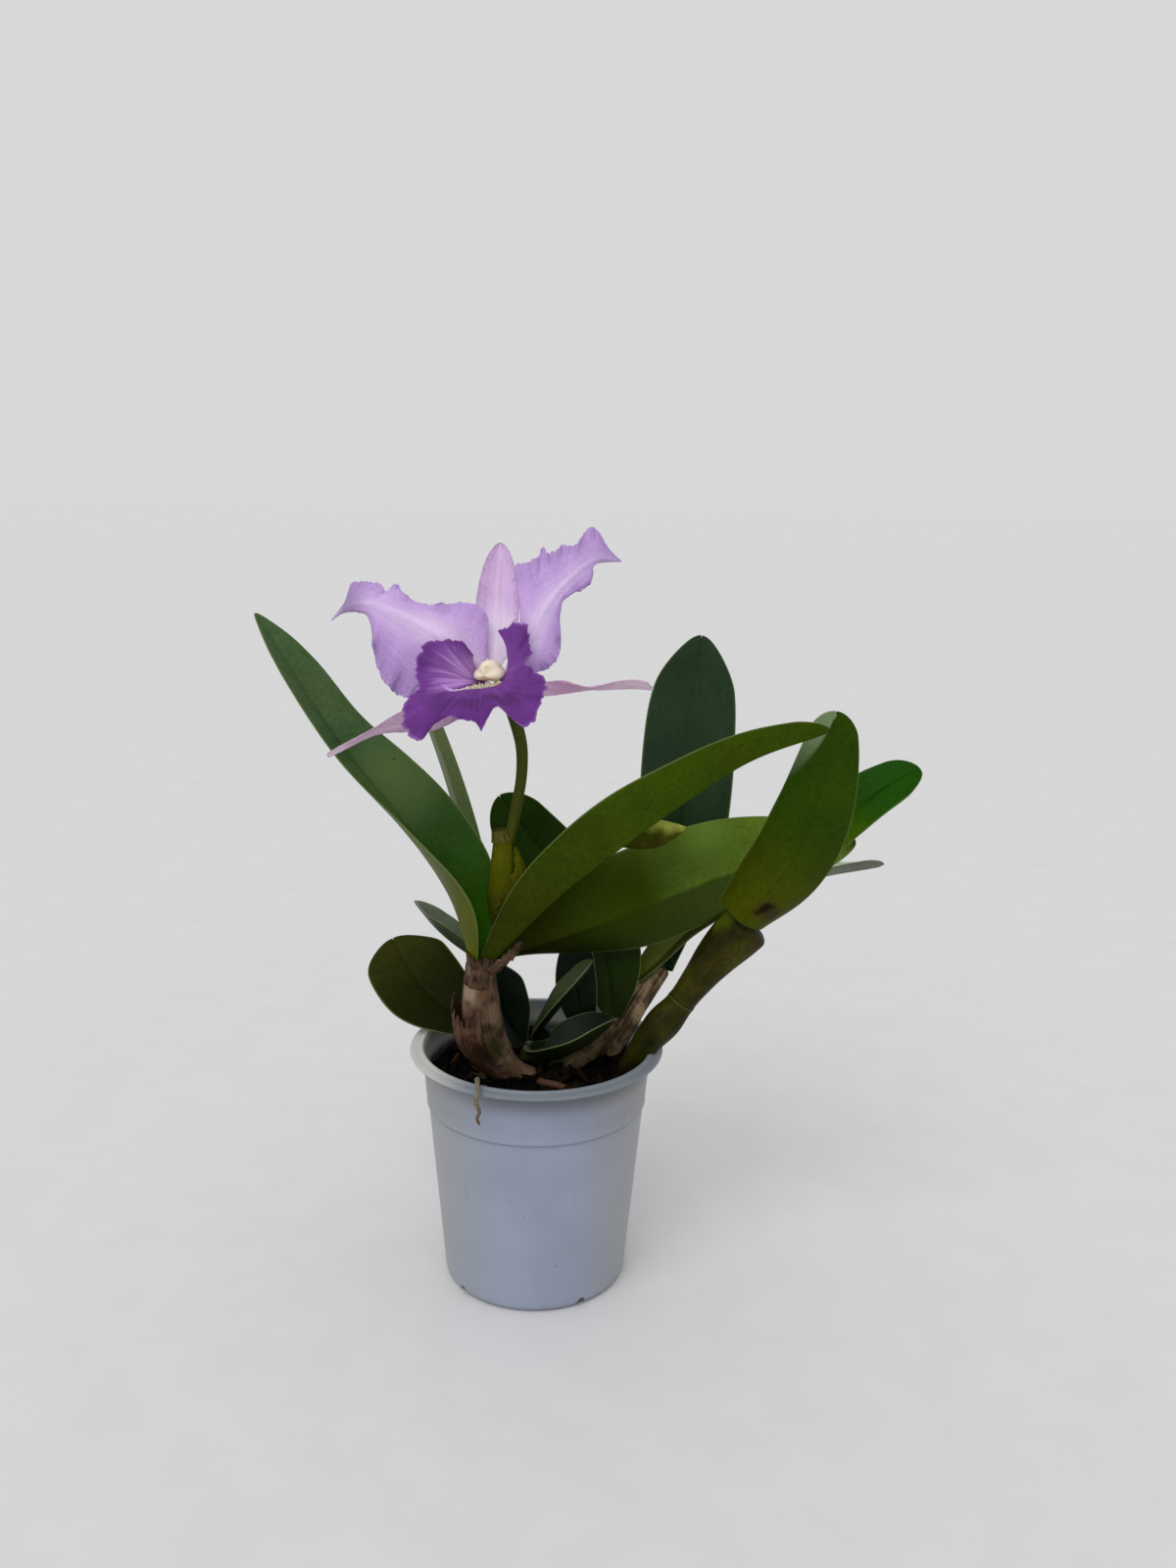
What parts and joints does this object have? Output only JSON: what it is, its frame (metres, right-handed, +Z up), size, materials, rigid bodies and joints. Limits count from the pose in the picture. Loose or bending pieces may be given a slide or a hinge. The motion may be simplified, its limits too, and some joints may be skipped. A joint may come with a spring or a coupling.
{
  "type": "potted cattleya orchid",
  "caption": "Flowering cattleya orchid in a round nursery pot, with strap leaves on swollen stems and a ruffled flower on a thin stalk; stands on its flat base.",
  "frame": {"origin": "middle of the pot's flat underside", "axes": "+Z up along the pot's axis; the flower opens towards -Y; the long leaves lean to -X and +X"},
  "size_m": [0.3027, 0.1295, 0.3592],
  "materials": {
    "plastic": "thin pale grey-blue plastic, softly shiny",
    "bark": "dark damp bark and root mix",
    "rhizome": "dry orange-brown rhizome",
    "husk": "papery beige-brown sheaths over the pseudobulb, streaked lengthwise",
    "green_bulb": "smooth olive green pseudobulb",
    "dark_leaf": "dark green leathery leaf, semi-gloss",
    "leaf": "green leathery leaf, semi-gloss",
    "bright_leaf": "fresh bright green leathery leaf, semi-gloss",
    "sheath": "thin yellow-olive sheath",
    "flower_stem": "smooth green stalk",
    "sepal": "pale pinkish lilac, velvety",
    "petal": "lilac blue with a lighter midrib, velvety",
    "lip": "deep purple with pale veins and a cream throat, velvety",
    "column": "white, waxy",
    "root": "pale beige root with a brown tip"
  },
  "bodies": {
    "root": {"pot": "plastic", "growing_medium": "bark", "rhizome": "rhizome", "front_pseudobulb": "husk", "back_left_pseudobulb": "husk", "middle_pseudobulb": "husk", "back_right_pseudobulb": "husk", "right_pseudobulb": "green_bulb", "small_growth": "green_bulb", "left_leaf": "leaf", "right_leaf": "leaf", "broad_leaf": "leaf", "wide_leaf": "leaf", "bright_leaf": "bright_leaf", "tall_leaf": "dark_leaf", "narrow_leaf": "dark_leaf", "middle_leaf": "dark_leaf", "shade_leaf": "dark_leaf", "round_leaf": "dark_leaf", "pointed_leaf": "dark_leaf", "edge_leaf": "leaf", "inner_leaf": "dark_leaf", "boat_leaf": "dark_leaf", "slant_leaf": "dark_leaf", "dorsal_sepal": "sepal", "left_petal": "petal", "right_petal": "petal", "left_lateral_sepal": "sepal", "right_lateral_sepal": "sepal", "lip": "lip", "column": "column", "flower_stem": "flower_stem", "flower_sheath": "sheath", "young_sheath": "sheath", "hanging_root": "root", "surface_root": "root"}
  },
  "joints": []
}
